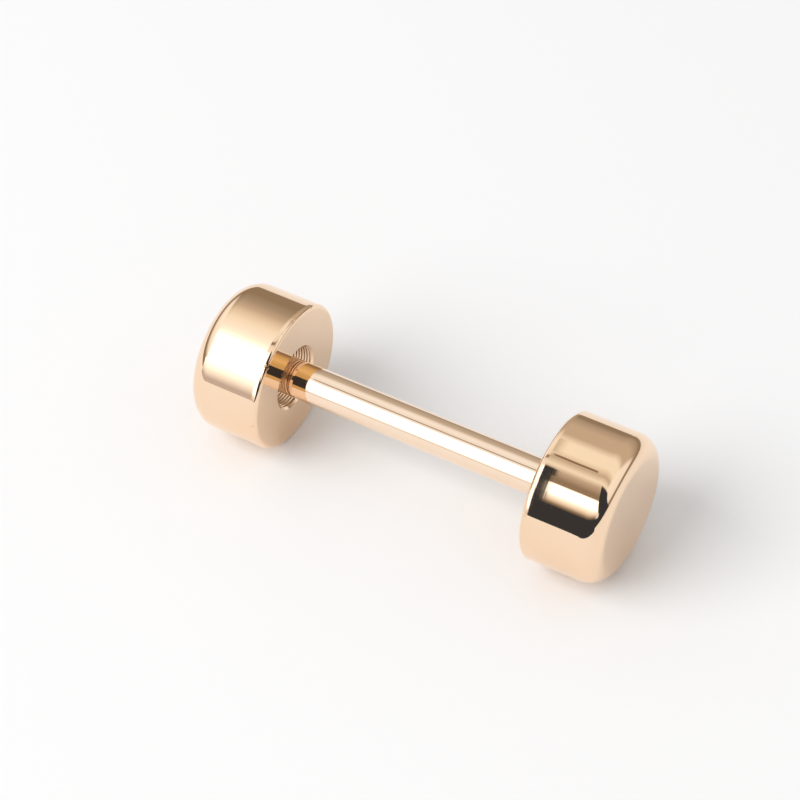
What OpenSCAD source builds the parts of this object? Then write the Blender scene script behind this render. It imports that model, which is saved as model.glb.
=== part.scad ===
// Double-ended screw bar connector, standing on the end of its lower head.
// A slim turned bar carries a round head at each end. Each head is a blind cap
// with a threaded hole, and unscrews from the bar so that a strap can be fitted.
// +Z runs along the bar. The origin is the centre of the lower head's outer end.

/* [Heads] */
// Outside diameter of a head
head_d = 10; // [8:0.1:14]
// Length of a head along the bar
head_l = 5.3; // [5:0.1:8]
// Radius of the large rounding at a head's outer end
end_round = 1.4; // [0.5:0.1:2.5]
// Radius of the small rounding round a head's inner face
face_round = 0.3; // [0.1:0.05:0.6]

/* [Threaded hole] */
// Diameter at the crests of a head's inner thread
hole_d = 4.2; // [3.8:0.1:5]
// Depth of the full-width hole from the inner face
hole_depth = 3.8; // [3.2:0.1:4]
// Included angle of the drill point at the bottom of the hole
point_angle = 140; // [118:1:160]
// Width of the chamfer at the mouth of the hole
mouth_chamfer = 0.15; // [0.05:0.05:0.3]

/* [Bar] */
// Clear distance between the inner faces of the two heads
gap = 19; // [8:0.5:40]
// Diameter of the slim shank that the strap goes round
bar_d = 2.5; // [2:0.1:3]
// Depth inside a head at which the bar widens to its threaded end
shoulder_depth = 1.6; // [1.2:0.1:2]
// Radius of the fillet where the shank meets a threaded end
shank_fillet = 0.25; // [0.1:0.05:0.35]
// Width of the lead-in chamfer at each end of a threaded end
lead_chamfer = 0.2; // [0.1:0.05:0.3]
// Length of the relief groove between the thread and the shoulder rim
relief_l = 0.3; // [0.1:0.05:0.4]
// Depth of that relief groove
relief_depth = 0.15; // [0.05:0.05:0.25]

/* [Fits] */
// Radial clearance between a threaded end and its hole, crest to crest
thread_clearance = 0.03; // [0.02:0.01:0.08]
// Space left between the end of the bar and the end of the full-width hole
end_gap = 0.1; // [0.05:0.05:0.3]

/* [Hidden] */
$fn = 96;
// Overlap that lets one cutter run past the surface that it cuts
past = 0.5;
head_r = head_d / 2;
hole_r = hole_d / 2;
shank_r = bar_d / 2;
thread_r = hole_r - thread_clearance;
point_depth = hole_r / tan(point_angle / 2);
// How far the bar reaches into a head
bar_reach = hole_depth - end_gap;
thread_l = bar_reach - shoulder_depth;
lower_face_z = head_l;
upper_face_z = head_l + gap;
bar_l = gap + 2 * bar_reach;
bar_mid_z = head_l + gap / 2;
lower_head_colour = [0.87, 0.66, 0.49];
bar_colour = [0.9, 0.72, 0.55];
upper_head_colour = [0.84, 0.63, 0.46];

// Outline of a head in the half plane: the inner face lies on y = 0 and the
// outer end on y = head_l, with true arcs at both edges.
module head_outline() {
    square([head_r - face_round, face_round * 2]);
    translate([0, face_round])
        square([head_r, head_l - face_round - end_round]);
    translate([0, face_round])
        square([head_r - end_round, head_l - face_round]);
    translate([head_r - face_round, face_round])
        circle(r = face_round);
    translate([head_r - end_round, head_l - end_round])
        circle(r = end_round);
}

// The hole of a head, drilled from the inner face: chamfered mouth, straight
// wall and drill point.
module hole_outline() {
    polygon([
        [0, -past],
        [hole_r + mouth_chamfer + past, -past],
        [hole_r, mouth_chamfer],
        [hole_r, hole_depth],
        [0, hole_depth + point_depth]
    ]);
}

// One head, with its inner face on z = 0 and its outer end towards +Z.
module head() {
    rotate_extrude()
        difference() {
            head_outline();
            hole_outline();
        }
}

// Half of the bar's outline, from its middle at y = 0 to its end: shank, fillet,
// shoulder, relief groove and the plain cylinder that stands for the thread.
module bar_half_outline() {
    half_l = bar_l / 2;
    shoulder_y = half_l - thread_l;
    groove_y = shoulder_y + lead_chamfer * 2;
    difference() {
        union() {
            square([shank_r, half_l]);
            translate([0, shoulder_y])
                square([thread_r, thread_l]);
            translate([0, shoulder_y - shank_fillet])
                square([shank_r + shank_fillet, shank_fillet]);
        }
        translate([shank_r + shank_fillet, shoulder_y - shank_fillet])
            circle(r = shank_fillet);
        translate([thread_r, half_l])
            rotate(45)
                square(lead_chamfer * sqrt(2), center = true);
        translate([thread_r, shoulder_y])
            rotate(45)
                square(lead_chamfer * sqrt(2), center = true);
        translate([thread_r - relief_depth, groove_y])
            square([relief_depth + past, relief_l]);
    }
}

module lower_head() {
    color(lower_head_colour)
        translate([0, 0, lower_face_z])
            mirror([0, 0, 1])
                head();
}

module upper_head() {
    color(upper_head_colour)
        translate([0, 0, upper_face_z])
            head();
}

module bar() {
    color(bar_colour)
        translate([0, 0, bar_mid_z])
            rotate_extrude()
                union() {
                    bar_half_outline();
                    mirror([0, 1])
                        bar_half_outline();
                }
}

lower_head();
bar();
upper_head();
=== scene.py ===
"""Looks for the double-ended screw bar connector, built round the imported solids.

The connector stands along +Z in its own frame. The photograph shows it lying on
its side, so the pale floor here is the plane that touches both heads' sides, and
the camera is turned to see it as the photograph does.
"""

import math

import bmesh
import bpy
from mathutils import Matrix, Vector


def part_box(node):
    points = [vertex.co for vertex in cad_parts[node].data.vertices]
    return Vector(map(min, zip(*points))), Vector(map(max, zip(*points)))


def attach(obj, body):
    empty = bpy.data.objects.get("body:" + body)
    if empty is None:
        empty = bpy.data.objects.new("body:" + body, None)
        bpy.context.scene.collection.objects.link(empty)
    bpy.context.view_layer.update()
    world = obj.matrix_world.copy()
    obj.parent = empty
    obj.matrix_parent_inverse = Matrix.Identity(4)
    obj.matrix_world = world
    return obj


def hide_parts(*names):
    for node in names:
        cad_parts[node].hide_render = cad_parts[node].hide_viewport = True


MM = 0.001
TURN = 2 * math.pi

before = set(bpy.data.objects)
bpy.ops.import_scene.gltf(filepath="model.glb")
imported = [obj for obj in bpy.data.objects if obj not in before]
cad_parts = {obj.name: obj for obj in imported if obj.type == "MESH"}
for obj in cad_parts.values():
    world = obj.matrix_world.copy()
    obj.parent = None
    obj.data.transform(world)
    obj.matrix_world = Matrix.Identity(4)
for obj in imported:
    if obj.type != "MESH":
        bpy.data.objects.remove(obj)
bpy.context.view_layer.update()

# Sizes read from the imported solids
LOWER_LO, LOWER_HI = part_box("lower_head")
UPPER_LO, UPPER_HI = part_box("upper_head")
BAR_LO, BAR_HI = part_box("bar")
HEAD_R = (LOWER_HI.x - LOWER_LO.x) / 2
HEAD_L = LOWER_HI.z - LOWER_LO.z
GAP = UPPER_LO.z - LOWER_HI.z
BAR_MID_Z = LOWER_HI.z + GAP / 2
BAR_HALF_L = (BAR_HI.z - BAR_LO.z) / 2
THREAD_CREST_R = (BAR_HI.x - BAR_LO.x) / 2

# Sizes of the turned forms, the same as in the solids
END_ROUND = 1.4 * MM
FACE_ROUND = 0.3 * MM
HOLE_CREST_R = 2.1 * MM
HOLE_DEPTH = 3.8 * MM
MOUTH_CHAMFER = 0.15 * MM
POINT_DEPTH = HOLE_CREST_R / math.tan(math.radians(70))
SHANK_R = 1.25 * MM
SHOULDER_DEPTH = 1.6 * MM
SHANK_FILLET = 0.25 * MM
LEAD_CHAMFER = 0.2 * MM
RELIEF_L = 0.3 * MM
RELIEF_DEPTH = 0.15 * MM

# The fine screw thread, which only this script has
PITCH = 0.2 * MM
HOLE_THREAD_DEPTH = 0.08 * MM
BAR_THREAD_DEPTH = 0.09 * MM
THREAD_FADE = 0.12 * MM
HOLE_THREAD_END = 3.5 * MM
ROWS_PER_TURN = 10

# How finely the meshes are made
SEGMENTS = 192
END_ROUND_STEPS = 28
SIDE_STEPS = 12
FACE_ROUND_STEPS = 14
SHANK_STEPS = 16
FILLET_STEPS = 8
WELD = 2e-8
SHARP_ANGLE = math.radians(42)


def arc(centre, radius, start, end, steps):
    """Points (r, z) along an arc in the half plane, from one angle to another, in degrees."""
    points = []
    for i in range(steps + 1):
        a = math.radians(start + (end - start) * i / steps)
        points.append((centre[0] + radius * math.cos(a), centre[1] + radius * math.sin(a)))
    return points


def smooth_step(x):
    x = min(1.0, max(0.0, x))
    return x * x * (3 - 2 * x)


def thread_height(phase):
    """Height of a thread from its root, 0 to 1, with rounded crests and roots."""
    return 0.5 - 0.5 * math.cos(TURN * phase)


def thread_rows(z_start, z_end, crest_r, root_r):
    """Rings that follow a right-hand helix, so that crests and roots stay sharp.
    One turn ends a pitch higher."""
    rows = []
    last = int(math.ceil((z_end - z_start) / PITCH)) * ROWS_PER_TURN
    for i in range(-ROWS_PER_TURN, last + 1):
        ring = []
        for j in range(SEGMENTS + 1):
            turn = i / ROWS_PER_TURN + j / SEGMENTS
            z = min(z_end, max(z_start, z_start + turn * PITCH))
            fade = smooth_step(min(z - z_start, z_end - z) / THREAD_FADE)
            depth = (1 - thread_height(i / ROWS_PER_TURN)) * fade
            ring.append((crest_r + (root_r - crest_r) * depth, z))
        rows.append(ring)
    return rows


def rings_of(profile):
    """Plain turned rings from points (r, z)."""
    return [[(r, z)] * (SEGMENTS + 1) for r, z in profile]


def lathe(name, rings, to_world):
    """A closed turned mesh from rings of (r, z). A ring of radius 0 is a single point."""
    bm = bmesh.new()
    levels = []
    for ring in rings:
        if ring[0][0] == 0:
            levels.append([bm.verts.new(to_world((0, 0, ring[0][1])))] * (SEGMENTS + 1))
            continue
        level = []
        for j, (r, z) in enumerate(ring):
            a = TURN * j / SEGMENTS
            level.append(bm.verts.new(to_world((r * math.cos(a), r * math.sin(a), z))))
        levels.append(level)
    for low, high in zip(levels, levels[1:]):
        for j in range(SEGMENTS):
            corners = [low[j], low[j + 1], high[j + 1], high[j]]
            corners = list(dict.fromkeys(corners))
            if len(corners) > 2:
                bm.faces.new(corners)
    bmesh.ops.remove_doubles(bm, verts=bm.verts, dist=WELD)
    bmesh.ops.recalc_face_normals(bm, faces=bm.faces)
    mesh = bpy.data.meshes.new(name)
    bm.to_mesh(mesh)
    bm.free()
    mesh.shade_smooth()
    mesh.set_sharp_from_angle(angle=SHARP_ANGLE)
    piece = bpy.data.objects.new(name, mesh)
    bpy.context.scene.collection.objects.link(piece)
    return piece


def head_rings():
    """Rings of one head, with its inner face on z = 0 and its outer end at z = HEAD_L."""
    flat_r = HEAD_R - END_ROUND
    side_top = HEAD_L - END_ROUND
    mouth_r = HOLE_CREST_R + MOUTH_CHAMFER
    face_r = HEAD_R - FACE_ROUND
    outer = [(0, HEAD_L)]
    outer += [(flat_r * k, HEAD_L) for k in (0.25, 0.5, 0.75, 0.95)]
    outer += arc((flat_r, side_top), END_ROUND, 90, 0, END_ROUND_STEPS)
    outer += [(HEAD_R, side_top + (FACE_ROUND - side_top) * k / SIDE_STEPS) for k in range(1, SIDE_STEPS)]
    outer += arc((face_r, FACE_ROUND), FACE_ROUND, 0, -90, FACE_ROUND_STEPS)
    outer += [(face_r + (mouth_r - face_r) * k, 0) for k in (0.04, 0.25, 0.5, 0.75, 0.96)]
    outer += [(mouth_r, 0)]
    rings = rings_of(outer)
    root_r = HOLE_CREST_R + HOLE_THREAD_DEPTH
    rings += thread_rows(MOUTH_CHAMFER, HOLE_THREAD_END, HOLE_CREST_R, root_r)
    bottom = [(HOLE_CREST_R, HOLE_DEPTH)]
    bottom += [(HOLE_CREST_R * k, HOLE_DEPTH + POINT_DEPTH * (1 - k)) for k in (0.75, 0.5, 0.25, 0)]
    return rings + rings_of(bottom)


def bar_rings():
    """Rings of the bar about its middle. Its lower half is the upper half turned over,
    so that both threads are right-hand."""
    shoulder = GAP / 2 + SHOULDER_DEPTH
    groove = shoulder + 2 * LEAD_CHAMFER
    groove_r = THREAD_CREST_R - RELIEF_DEPTH
    thread_low = groove + RELIEF_L
    thread_high = BAR_HALF_L - LEAD_CHAMFER
    root_r = THREAD_CREST_R - BAR_THREAD_DEPTH
    shank_l = shoulder - SHANK_FILLET
    profile = [(SHANK_R, shank_l * k / SHANK_STEPS) for k in range(SHANK_STEPS)]
    profile += arc((SHANK_R + SHANK_FILLET, shank_l), SHANK_FILLET, 180, 90, FILLET_STEPS)
    profile += [
        (THREAD_CREST_R - LEAD_CHAMFER, shoulder),
        (THREAD_CREST_R, shoulder + LEAD_CHAMFER),
        (THREAD_CREST_R, groove),
        (groove_r, groove),
        (groove_r, thread_low),
    ]
    rows = thread_rows(thread_low, thread_high, THREAD_CREST_R, root_r)
    end = [(THREAD_CREST_R - LEAD_CHAMFER, BAR_HALF_L)]
    end += [(THREAD_CREST_R * k, BAR_HALF_L) for k in (0.7, 0.35, 0)]
    half = rings_of(profile) + rows + rings_of(end)
    turned_over = [[(r, -z) for r, z in reversed(ring)] for ring in half[:0:-1]]
    return turned_over + half


class Wires:
    """Short ways to build a node tree."""

    def __init__(self, tree):
        self.tree = tree

    def node(self, kind):
        return self.tree.nodes.new(kind)

    def put(self, target, value):
        if isinstance(value, bpy.types.NodeSocket):
            self.tree.links.new(value, target)
        else:
            target.default_value = value

    def maths(self, operation, first, second=0.0):
        node = self.node("ShaderNodeMath")
        node.operation = operation
        self.put(node.inputs[0], first)
        self.put(node.inputs[1], second)
        return node.outputs["Value"]

    def times(self, first, second):
        return self.maths("MULTIPLY", first, second)

    def larger(self, first, second):
        return self.maths("MAXIMUM", first, second)

    def rescale(self, value, low, high, to_low=0.0, to_high=1.0, kind="LINEAR"):
        """Stretches the range from low to high to another, and holds it at its ends."""
        node = self.node("ShaderNodeMapRange")
        node.interpolation_type = kind
        node.inputs["From Min"].default_value = low
        node.inputs["From Max"].default_value = high
        node.inputs["To Min"].default_value = to_low
        node.inputs["To Max"].default_value = to_high
        self.put(node.inputs["Value"], value)
        return node.outputs["Result"]

    def rise(self, value, low, high):
        """0 below low and 1 above high, with a smooth step between."""
        return self.rescale(value, low, high, kind="SMOOTHSTEP")

    def fall(self, value, low, high):
        """1 below low and 0 above high, with a smooth step between."""
        return self.maths("SUBTRACT", 1.0, self.rise(value, low, high))

    def within(self, value, low, high, soft):
        """1 from low to high, falling to 0 over a soft edge outside."""
        return self.times(self.rise(value, low - soft, low), self.fall(value, high, high + soft))

    def axes(self, vector):
        """The X, Y and Z of a vector."""
        split = self.node("ShaderNodeSeparateXYZ")
        self.put(split.inputs["Vector"], vector)
        return [split.outputs[axis] for axis in "XYZ"]

    def ramp(self, value, stops, first=0.0, last=1.0):
        """Colours along a value, from stops of (value, colour)."""
        node = self.node("ShaderNodeValToRGB")
        elements = node.color_ramp.elements
        while len(elements) < len(stops):
            elements.new(1.0)
        for element, (at, colour) in zip(elements, stops):
            element.position = (at - first) / (last - first)
            element.color = (*colour, 1)
        self.put(node.inputs["Fac"], self.rescale(value, first, last))
        return node.outputs["Color"]

    def blend(self, share, first, second):
        """The first colour, with a share of the second."""
        node = self.node("ShaderNodeMix")
        node.data_type = "RGBA"
        self.put(node.inputs[0], share)
        self.put(node.inputs[6], first)
        self.put(node.inputs[7], second)
        return node.outputs[2]

    def noise(self, where, scale, detail):
        node = self.node("ShaderNodeTexNoise")
        node.inputs["Scale"].default_value = scale
        node.inputs["Detail"].default_value = detail
        self.put(node.inputs["Vector"], where)
        return node.outputs["Fac"]

    def bump(self, height, strength, distance, before=None):
        node = self.node("ShaderNodeBump")
        node.inputs["Strength"].default_value = strength
        node.inputs["Distance"].default_value = distance
        self.put(node.inputs["Height"], height)
        if before is not None:
            self.put(node.inputs["Normal"], before)
        return node.outputs["Normal"]

    def glow(self, colour):
        """A surface that shines in a colour by itself."""
        node = self.node("ShaderNodeEmission")
        self.put(node.inputs["Color"], colour)
        return node.outputs["Emission"]

    def clear_where(self, share, surface):
        """A surface with a share of it see-through."""
        node = self.node("ShaderNodeMixShader")
        self.put(node.inputs["Fac"], share)
        self.put(node.inputs[1], surface)
        self.put(node.inputs[2], self.node("ShaderNodeBsdfTransparent").outputs["BSDF"])
        return node.outputs["Shader"]

    def wear(self, surface):
        """Gives the material its surface."""
        self.put(self.tree.nodes["Material Output"].inputs["Surface"], surface)


def new_material(name):
    material = bpy.data.materials.new(name)
    material.use_nodes = True
    return material, Wires(material.node_tree)


def grey(level):
    return (level, level, level)


def shaded(colour, shares):
    return tuple(c * share for c, share in zip(colour, shares))


# Noise scales of the plating, per metre
CLOUD_SCALE = 260
SCUFF_SCALE = 900
LINE_SCALE = 60
LINE_STRETCH = 160
WAVE_SCALE = 420
NICK_SCALE = 1700
# Levels of the noise between which clouds, scuffs and nicks set in
CLOUD_LEVELS = (0.3, 0.7)
SCUFF_LEVELS = (0.35, 0.75)
NICK_LEVELS = (0.63, 0.70)
# The nicked rim of an inner face thins out over these distances from the face, and sets in over these radii
RIM_FROM_FACE = (0.15 * MM, 0.45 * MM)
RIM_R = (4.45 * MM, 4.75 * MM)
# The machined hole ends over these radii, and sets in this far below the inner face
MACHINED_R = (2.2 * MM, 2.3 * MM)
MACHINED_FROM = 0.12 * MM
MACHINED_SOFT = 0.1 * MM
# What clouds and nicks leave of the colour, and how much of a nick shows
DULL = (0.97, 0.955, 0.93)
WORN = (0.55, 0.45, 0.36)
NICK_SHARE = 0.35
# What scuffs multiply the roughness by, and what nicks and the machined hole add to it
SCUFFED = 1.8
NICK_ROUGHNESS = 0.2
MACHINED_ROUGHNESS = 0.15
# Bumps, as (strength, distance)
LINE_BUMP = (0.012, 0.02 * MM)
WAVE_BUMP = (0.25, 0.03 * MM)
DENT_BUMP = (0.35, 0.025 * MM)


def plating(name, colour, roughness):
    """Mirror-polished pale gold plating with fine turning lines, faint clouding, small scuffs, a slight
    waviness, little nicks round the rims of the heads' inner faces, and a duller machined hole."""
    material, wires = new_material(name)
    shader = material.node_tree.nodes["Principled BSDF"]
    shader.inputs["Metallic"].default_value = 1.0
    where = wires.node("ShaderNodeTexCoord").outputs["Object"]

    x, y, z = wires.axes(where)
    radius = wires.maths("SQRT", wires.maths("ADD", wires.times(x, x), wires.times(y, y)))
    from_middle = wires.maths("ABSOLUTE", wires.maths("SUBTRACT", z, BAR_MID_Z))
    from_face = wires.maths("ABSOLUTE", wires.maths("SUBTRACT", from_middle, GAP / 2))
    rim = wires.times(wires.fall(from_face, *RIM_FROM_FACE), wires.rise(radius, *RIM_R))
    nicks = wires.times(rim, wires.rise(wires.noise(where, NICK_SCALE, 3), *NICK_LEVELS))
    hole_end = GAP / 2 + HOLE_DEPTH + POINT_DEPTH
    in_depth = wires.within(from_middle, GAP / 2 + MACHINED_FROM, hole_end, MACHINED_SOFT)
    machined = wires.times(wires.fall(radius, *MACHINED_R), in_depth)

    cloud = wires.noise(where, CLOUD_SCALE, 5)
    tint = wires.ramp(cloud, list(zip(CLOUD_LEVELS, (shaded(colour, DULL), colour))))
    nicked = wires.blend(wires.times(nicks, NICK_SHARE), tint, (*shaded(colour, WORN), 1))
    wires.put(shader.inputs["Base Color"], nicked)

    scuffs = wires.noise(where, SCUFF_SCALE, 8)
    rough = wires.rescale(scuffs, *SCUFF_LEVELS, roughness, roughness * SCUFFED)
    rough = wires.maths("ADD", rough, wires.times(nicks, NICK_ROUGHNESS))
    rough = wires.maths("ADD", rough, wires.times(machined, MACHINED_ROUGHNESS))
    wires.put(shader.inputs["Roughness"], rough)

    stretch = wires.node("ShaderNodeMapping")
    stretch.inputs["Scale"].default_value = (1, 1, LINE_STRETCH)
    wires.put(stretch.inputs["Vector"], where)
    lines = wires.bump(wires.noise(stretch.outputs["Vector"], LINE_SCALE, 3), *LINE_BUMP)
    waves = wires.bump(wires.noise(where, WAVE_SCALE, 1), *WAVE_BUMP, lines)
    dents = wires.bump(wires.times(nicks, -1.0), *DENT_BUMP, waves)
    wires.put(shader.inputs["Normal"], dents)
    return material


GOLD = (0.975, 0.735, 0.53)
BAR_GOLD = (0.98, 0.785, 0.62)
HEAD_ROUGHNESS = 0.03
BAR_ROUGHNESS = 0.04
HEAD_PLATING = plating("head_plating", GOLD, HEAD_ROUGHNESS)
BAR_PLATING = plating("bar_plating", BAR_GOLD, BAR_ROUGHNESS)


def dress(piece, node, body, material):
    piece.data.materials.append(material)
    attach(piece, body)
    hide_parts(node)


def below(z_face):
    """Places a head under the plane z_face, its outer end downwards."""
    return lambda p: (p[0], -p[1], z_face - p[2])


def above(z_face):
    """Places a head over the plane z_face, its outer end upwards."""
    return lambda p: (p[0], p[1], z_face + p[2])


lower_head = lathe("turned_lower_head", head_rings(), below(LOWER_HI.z))
upper_head = lathe("turned_upper_head", head_rings(), above(UPPER_LO.z))
bar = lathe("turned_bar", bar_rings(), above(BAR_MID_Z))
dress(lower_head, "lower_head", "lower_head", HEAD_PLATING)
dress(upper_head, "upper_head", "upper_head", HEAD_PLATING)
dress(bar, "bar", "bar", BAR_PLATING)

# Camera, placed as the photograph's outline of the part gives it
VIEW_ELEVATION = math.radians(20.47)
BAR_SLOPE = math.radians(22.17)
CAMERA_DISTANCE = 191.0 * MM
AIM_LEFT = 1.48 * MM
AIM_UP = 1.91 * MM
LENS_MM = 135
SENSOR_MM = 36

forward = Vector((0, math.cos(VIEW_ELEVATION), -math.sin(VIEW_ELEVATION)))
level_up = Vector((0, math.sin(VIEW_ELEVATION), math.cos(VIEW_ELEVATION)))
level_right = Vector((1, 0, 0))
right = level_up * math.cos(BAR_SLOPE) - level_right * math.sin(BAR_SLOPE)
up = right.cross(forward)
middle = Vector((0, 0, BAR_MID_Z))
eye = middle - forward * CAMERA_DISTANCE - right * AIM_LEFT + up * AIM_UP

camera_data = bpy.data.cameras.new("camera")
camera_data.lens = LENS_MM
camera_data.sensor_width = SENSOR_MM
camera_data.clip_start = 0.01
camera_data.clip_end = 20
camera = bpy.data.objects.new("camera", camera_data)
bpy.context.scene.collection.objects.link(camera)
camera.matrix_world = Matrix((
    (right.x, up.x, -forward.x, eye.x),
    (right.y, up.y, -forward.y, eye.y),
    (right.z, up.z, -forward.z, eye.z),
    (0, 0, 0, 1),
))
bpy.context.scene.camera = camera

# The floor that the part lies on: level across the picture, and touching both heads
FLOOR_TURN = math.atan(math.sin(VIEW_ELEVATION) / math.tan(BAR_SLOPE))
floor_up = Vector((-math.sin(FLOOR_TURN), -math.cos(FLOOR_TURN), 0))
along = Vector((0, 0, 1))
across = along.cross(floor_up)


def floor_material():
    """Pale paper, see-through from behind so that views from under the part aren't blocked."""
    material, wires = new_material("floor_paper")
    shader = material.node_tree.nodes["Principled BSDF"]
    shader.inputs["Base Color"].default_value = (0.93, 0.925, 0.925, 1)
    shader.inputs["Roughness"].default_value = 0.85
    shader.inputs["Specular IOR Level"].default_value = 0.1
    behind = wires.node("ShaderNodeNewGeometry").outputs["Backfacing"]
    wires.wear(wires.clear_where(behind, shader.outputs["BSDF"]))
    return material


FLOOR_SIZE = 2.4
floor_centre = middle - floor_up * HEAD_R
floor_x = across * FLOOR_SIZE / 2
floor_y = along * FLOOR_SIZE / 2
floor_mesh = bpy.data.meshes.new("floor")
floor_mesh.from_pydata([
    floor_centre - floor_x - floor_y,
    floor_centre + floor_x - floor_y,
    floor_centre + floor_x + floor_y,
    floor_centre - floor_x + floor_y,
], [], [(0, 1, 2, 3)])
floor_mesh.materials.append(floor_material())
sheet = bpy.data.objects.new("floor", floor_mesh)
bpy.context.scene.collection.objects.link(sheet)


# Shades of the studio's cards and reflectors
BLACK = (0.04, 0.045, 0.055)
UMBER = (0.30, 0.24, 0.18)
BROWN = (0.40, 0.35, 0.29)
TAN = (0.58, 0.51, 0.43)
SAND = (0.80, 0.74, 0.64)
CREAM = (0.97, 0.96, 0.88)
PEARL = (0.90, 0.87, 0.83)
STONE = (0.58, 0.53, 0.53)
# Painted reflections of the gold bouncing between the parts, amber and paler
PAINTED_GOLD_BOUNCE = (0.66, 0.52, 0.26)
PAINTED_PALE_GOLD_BOUNCE = (0.85, 0.72, 0.40)
# Where the colours round the bar begin and end, in degrees from the camera's side
ROUND_FROM = -135
ROUND_TO = 65
# What the lower head shows, by the angle round the bar
LOWER_SIDE = [
    (-131, UMBER),
    (-108, UMBER),
    (-90, BROWN),
    (-75, TAN),
    (-64, SAND),
    (-52, CREAM),
    (-37, grey(1.1)),
    (-28, grey(1.3)),
    (-18, grey(2.0)),
    (24, grey(2.0)),
    (37, grey(1.25)),
    (43, grey(0.95)),
    (51, STONE),
    (57, STONE),
]
# What the bar shows
BAR_SIDE = [
    (-125, BROWN),
    (-84, TAN),
    (-71, PEARL),
    (-57, grey(1.0)),
    (-36, PEARL),
    (-34, UMBER),
    (-31, UMBER),
    (-29, PEARL),
    (-20, grey(1.0)),
    (-15, grey(2.0)),
    (42, grey(2.0)),
    (48, grey(1.0)),
    (57, TAN),
]
# What the upper head shows
UPPER_SIDE = [
    (-131, UMBER),
    (-125, UMBER),
    (-119, BROWN),
    (-100, TAN),
    (-79, TAN),
    (-66, CREAM),
    (-49, CREAM),
    (-42, SAND),
    (-36, TAN),
    (-26, CREAM),
    (-19, TAN),
    (-8, UMBER),
    (-2, UMBER),
    (0, grey(2.2)),
    (12, grey(2.2)),
    (16, grey(1.35)),
    (22, SAND),
    (26, UMBER),
    (30, BLACK),
    (60, BLACK),
]
# What the upper end shows, and the face that looks the same way, by the height over the floor
UPPER_END = [
    (0.0, UMBER),
    (0.12, UMBER),
    (0.21, grey(0.95)),
    (1.0, grey(1.1)),
]
# What the lower end shows
LOWER_END = [
    (0.0, UMBER),
    (0.16, UMBER),
    (0.34, grey(1.0)),
    (1.0, grey(1.3)),
]
# What the bar shows beside the lower head's face, which mirrors it in turn. Its amber and paler gold are
# painted reflections of the gold bouncing between the parts
NEAR_FACE = [
    (-140, UMBER),
    (-115, UMBER),
    (-90, PAINTED_GOLD_BOUNCE),
    (-55, PAINTED_PALE_GOLD_BOUNCE),
    (-30, PAINTED_GOLD_BOUNCE),
    (-13, PAINTED_GOLD_BOUNCE),
    (-10, BLACK),
    (40, BLACK),
    (43, PAINTED_GOLD_BOUNCE),
    (100, PAINTED_GOLD_BOUNCE),
]


def for_metal_only(piece):
    """A stage piece that only the metal shows, like a reflector held up for the photograph."""
    piece.visible_camera = False
    piece.visible_diffuse = False
    piece.visible_shadow = False
    bpy.context.scene.collection.objects.link(piece)


def reflector_material(name):
    """A new material for a reflector, which isn't sampled as a lamp."""
    material, wires = new_material(name)
    material.cycles.emission_sampling = "NONE"
    return material, wires


# Where the dome's shades change over, by the height along the bar, which is 1 at the dome's top
LOWER_TO_UPPER = (-0.295, -0.275)
SIDE_TO_END = (0.62, 0.78)
END_TO_END = (-0.1, 0.1)
# Its dark post leans: the inner and outer edges are heights less this much for each degree
POST_LEAN = 0.0125
POST_INNER = (0.50, 0.56)
POST_OUTER = (1.07, 1.13)
# From this height up there is no inner edge
POST_TOP = (0.78, 0.83)
# Angles of the post and of the dark foot beside it, as (from, to, soft edge) in degrees
POST_ANGLES = (-21, 62, 4)
FOOT_ANGLES = (31, 95, 4)
FOOT_BOTTOM = (-0.25, -0.2)


def dome_material():
    """The studio round the part, coloured by direction: a broad soft light over the part's near side, dimmer
    on the far side, with a dark strip low down at the ends, and a dark post with a foot."""
    material, wires = reflector_material("studio_dome")
    unit = wires.node("ShaderNodeVectorMath")
    unit.operation = "NORMALIZE"
    wires.put(unit.inputs[0], wires.node("ShaderNodeTexCoord").outputs["Object"])
    over_floor = wires.node("ShaderNodeVectorMath")
    over_floor.operation = "DOT_PRODUCT"
    wires.put(over_floor.inputs[0], unit.outputs["Vector"])
    over_floor.inputs[1].default_value = floor_up
    height = over_floor.outputs["Value"]
    x, y, z = wires.axes(unit.outputs["Vector"])
    angle = wires.times(wires.maths("ARCTAN2", x, wires.times(y, -1.0)), 180 / math.pi)

    lower = wires.ramp(angle, LOWER_SIDE, ROUND_FROM, ROUND_TO)
    upper = wires.ramp(angle, UPPER_SIDE, ROUND_FROM, ROUND_TO)
    sides = wires.blend(wires.rise(z, *LOWER_TO_UPPER), lower, upper)
    lower_end = wires.ramp(height, LOWER_END)
    upper_end = wires.ramp(height, UPPER_END)
    ends = wires.blend(wires.rise(z, *END_TO_END), lower_end, upper_end)
    sky = wires.blend(wires.rise(wires.maths("ABSOLUTE", z), *SIDE_TO_END), sides, ends)

    lean = wires.maths("SUBTRACT", z, wires.times(angle, POST_LEAN))
    inner = wires.larger(wires.rise(lean, *POST_INNER), wires.rise(z, *POST_TOP))
    post = wires.times(inner, wires.fall(lean, *POST_OUTER))
    post = wires.times(post, wires.within(angle, *POST_ANGLES))
    foot = wires.times(wires.within(angle, *FOOT_ANGLES), wires.rise(z, *FOOT_BOTTOM))
    wires.wear(wires.glow(wires.blend(wires.larger(post, foot), sky, (*BLACK, 1))))
    return material


def stage_dome(name, radius, material):
    """A round shell centred on the part."""
    bm = bmesh.new()
    bmesh.ops.create_uvsphere(bm, u_segments=64, v_segments=32, radius=radius)
    mesh = bpy.data.meshes.new(name)
    bm.to_mesh(mesh)
    bm.free()
    mesh.materials.append(material)
    dome = bpy.data.objects.new(name, mesh)
    dome.location = middle
    for_metal_only(dome)


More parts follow.
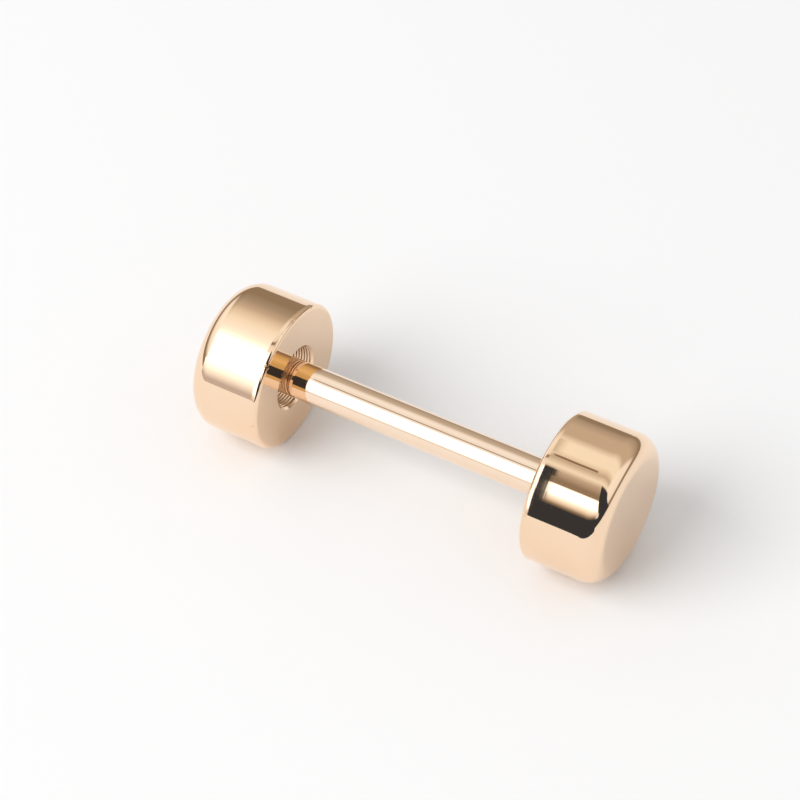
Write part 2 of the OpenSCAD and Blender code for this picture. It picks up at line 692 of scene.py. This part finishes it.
# Marks on the upper screen, by the angle in degrees and the height in mm. Where there are three numbers,
# they are (from, to, soft edge). The rest are the two ends of an edge.
PATCH_ANGLES = (-66, -46, 4)
PATCH_EDGE = (13.6, 14.6)
PATCH_SHADE = (0.62, 0.55, 0.45)
PATCH_SHARE = 0.8
LINE_ANGLES = (-40.8, -38.4, 0.8)
LINE_HEIGHTS = (14.1, 17.6, 0.4)
LINE_SHADE = (0.22, 0.15, 0.09)
LINE_SHARE = 0.9
ARM_FROM = (-23, -19)
ARM_EDGE = (14.45, 14.62)
BLOB_ANGLES = (-19, -12, 3)
BLOB_EDGE = (14.7, 14.9)


def screen_marks(wires, height, angle, shades):
    """Adds the soft edge of a pale patch, a thin line, and a dark arm with a blob at its end."""
    patch = wires.times(wires.fall(height, *PATCH_EDGE), wires.within(angle, *PATCH_ANGLES))
    shades = wires.blend(wires.times(patch, PATCH_SHARE), shades, (*PATCH_SHADE, 1))
    line = wires.times(wires.within(angle, *LINE_ANGLES), wires.within(height, *LINE_HEIGHTS))
    shades = wires.blend(wires.times(line, LINE_SHARE), shades, (*LINE_SHADE, 1))
    arm = wires.times(wires.fall(height, *ARM_EDGE), wires.rise(angle, *ARM_FROM))
    blob = wires.times(wires.fall(height, *BLOB_EDGE), wires.within(angle, *BLOB_ANGLES))
    return wires.blend(wires.larger(arm, blob), shades, (*BLACK, 1))


def screen_material(name, stops, marks=False):
    """The colours of a near screen, by the direction it stands in."""
    material, wires = reflector_material(name)
    height, angle = wires.axes(wires.node("ShaderNodeTexCoord").outputs["UV"])[:2]
    shades = wires.ramp(angle, stops, ROUND_FROM, ROUND_TO)
    if marks:
        shades = screen_marks(wires, height, angle, shades)
    wires.wear(wires.glow(shades))
    return material


def dark_material(name):
    """A near screen that is dark all over."""
    material, wires = reflector_material(name)
    wires.wear(wires.glow((*BLACK, 1)))
    return material


def low_card_material():
    """The low card's colours, by the direction it stands in. Its amber and paler gold are painted
    reflections of the gold bouncing between the parts.
    It is clear from above, and in first reflections too."""
    material, wires = reflector_material("low_card")
    angle = wires.axes(wires.node("ShaderNodeTexCoord").outputs["UV"])[1]
    shine = wires.glow(wires.ramp(angle, NEAR_FACE, *CARD_ANGLES))
    from_above = wires.node("ShaderNodeNewGeometry").outputs["Backfacing"]
    bounces = wires.node("ShaderNodeLightPath").outputs["Ray Depth"]
    first_seen = wires.maths("LESS_THAN", bounces, 1.5)
    wires.wear(wires.clear_where(wires.larger(from_above, first_seen), shine))
    return material


STRIP_STEPS = 96


def stage_strip(name, edges, start, end, material, spread=1.0):
    """A reflector swept round the bar's line between two edges, each a (radius, height) in mm. Its UV holds
    the height in mm, and the direction in degrees times the spread."""
    points = []
    places = []
    for i in range(STRIP_STEPS + 1):
        degrees = start + (end - start) * i / STRIP_STEPS
        a = math.radians(degrees)
        for radius, height in edges:
            points.append((radius * MM * math.sin(a), -radius * MM * math.cos(a), height * MM))
            places.append((height, degrees * spread))
    mesh = bpy.data.meshes.new(name)
    mesh.from_pydata(points, [], [(k + 1, k + 3, k + 2, k) for k in range(0, 2 * STRIP_STEPS, 2)])
    uv = mesh.uv_layers.new(name="strip")
    for loop, place in zip(mesh.loops, uv.data):
        place.uv = places[loop.vertex_index]
    mesh.materials.append(material)
    for_metal_only(bpy.data.objects.new(name, mesh))


# The near screens stand this far from the bar's line, in mm, between these directions
SCREEN_R = 40
SCREEN_FROM = -128
SCREEN_TO = 54.5
# Where one screen gives way to the next along the bar, in mm
LOWER_END_Z = -45
LOWER_TO_BAR_Z = -9
BAR_TO_UPPER_Z = 12.5
UPPER_TO_CORNER_Z = 19.3
CORNER_END_Z = 75
# These two start nearer the camera's side
LOWER_SCREEN_FROM = 24
CORNER_SCREEN_FROM = 29


def stage_screen(name, low, high, start, material, surface_r):
    """A near screen. The rays that reach it come from a surface of a given radius in mm, so that they point
    a little wider than the place where they meet it."""
    edges = ((SCREEN_R, low), (SCREEN_R, high))
    stage_strip(name, edges, start, SCREEN_TO, material, 1 + surface_r / SCREEN_R / 2)


# The low card lies level round the bar's line, with its front down. It carries the painted reflection of the
# gold bouncing between the parts
CARD_Z = 15
CARD_INNER_R = 12
CARD_OUTER_R = 33
CARD_ANGLES = (-140, 100)

# Radii in mm of the surfaces that show the near screens
FROM_HEAD = 5
FROM_SHANK = 1.25

dark_corner = dark_material("corner_screen")
bar_shades = screen_material("bar_screen", BAR_SIDE)
lower_shades = screen_material("lower_screen", LOWER_SIDE)
upper_shades = screen_material("upper_screen", UPPER_SIDE, marks=True)
stage_dome("studio_dome", 1.0, dome_material())
stage_strip("low_card", ((CARD_OUTER_R, CARD_Z), (CARD_INNER_R, CARD_Z)), *CARD_ANGLES, low_card_material())
stage_screen("upper_screen", BAR_TO_UPPER_Z, UPPER_TO_CORNER_Z, SCREEN_FROM, upper_shades, FROM_HEAD)
stage_screen("corner_screen", UPPER_TO_CORNER_Z, CORNER_END_Z, CORNER_SCREEN_FROM, dark_corner, FROM_HEAD)
stage_screen("bar_screen", LOWER_TO_BAR_Z, BAR_TO_UPPER_Z, SCREEN_FROM, bar_shades, FROM_SHANK)
stage_screen("lower_screen", LOWER_END_Z, LOWER_TO_BAR_Z, LOWER_SCREEN_FROM, lower_shades, FROM_HEAD)

# A square soft key lamp from the picture's left and a little in front, so that soft shadows fall to the
# right. It faces the middle of the bar. The metal shows the reflectors instead of it.
KEY_DISTANCE = 0.9
KEY_SIZE = 0.7
KEY_WATTS = 6.0
away = (forward - floor_up * forward.dot(floor_up)).normalized()
key_direction = -right * 0.9 + floor_up * 0.8 - away * 0.4
key_data = bpy.data.lights.new("key_light", "AREA")
key_data.shape = "SQUARE"
key_data.size = KEY_SIZE
key_data.energy = KEY_WATTS
key_light = bpy.data.objects.new("key_light", key_data)
bpy.context.scene.collection.objects.link(key_light)
key_light.location = middle + key_direction.normalized() * KEY_DISTANCE
key_light.rotation_mode = "QUATERNION"
key_light.rotation_quaternion = (-key_direction).to_track_quat("-Z", "Y")
key_light.visible_glossy = False

# The world lights the floor evenly, and where it is seen it is a pale backdrop
WORLD_LIGHT = 0.65
WORLD_SEEN = 0.93
world = bpy.data.worlds.new("studio")
world.use_nodes = True
sky_wires = Wires(world.node_tree)
ray = sky_wires.node("ShaderNodeLightPath").outputs
seen = sky_wires.larger(ray["Is Camera Ray"], ray["Is Glossy Ray"])
seen = sky_wires.larger(seen, ray["Is Transmission Ray"])
level = sky_wires.maths("ADD", sky_wires.times(seen, WORLD_SEEN - WORLD_LIGHT), WORLD_LIGHT)
backdrop = world.node_tree.nodes["Background"]
backdrop.inputs["Color"].default_value = (1, 1, 1, 1)
sky_wires.put(backdrop.inputs["Strength"], level)
bpy.context.scene.world = world

bpy.context.scene.view_settings.view_transform = "Standard"
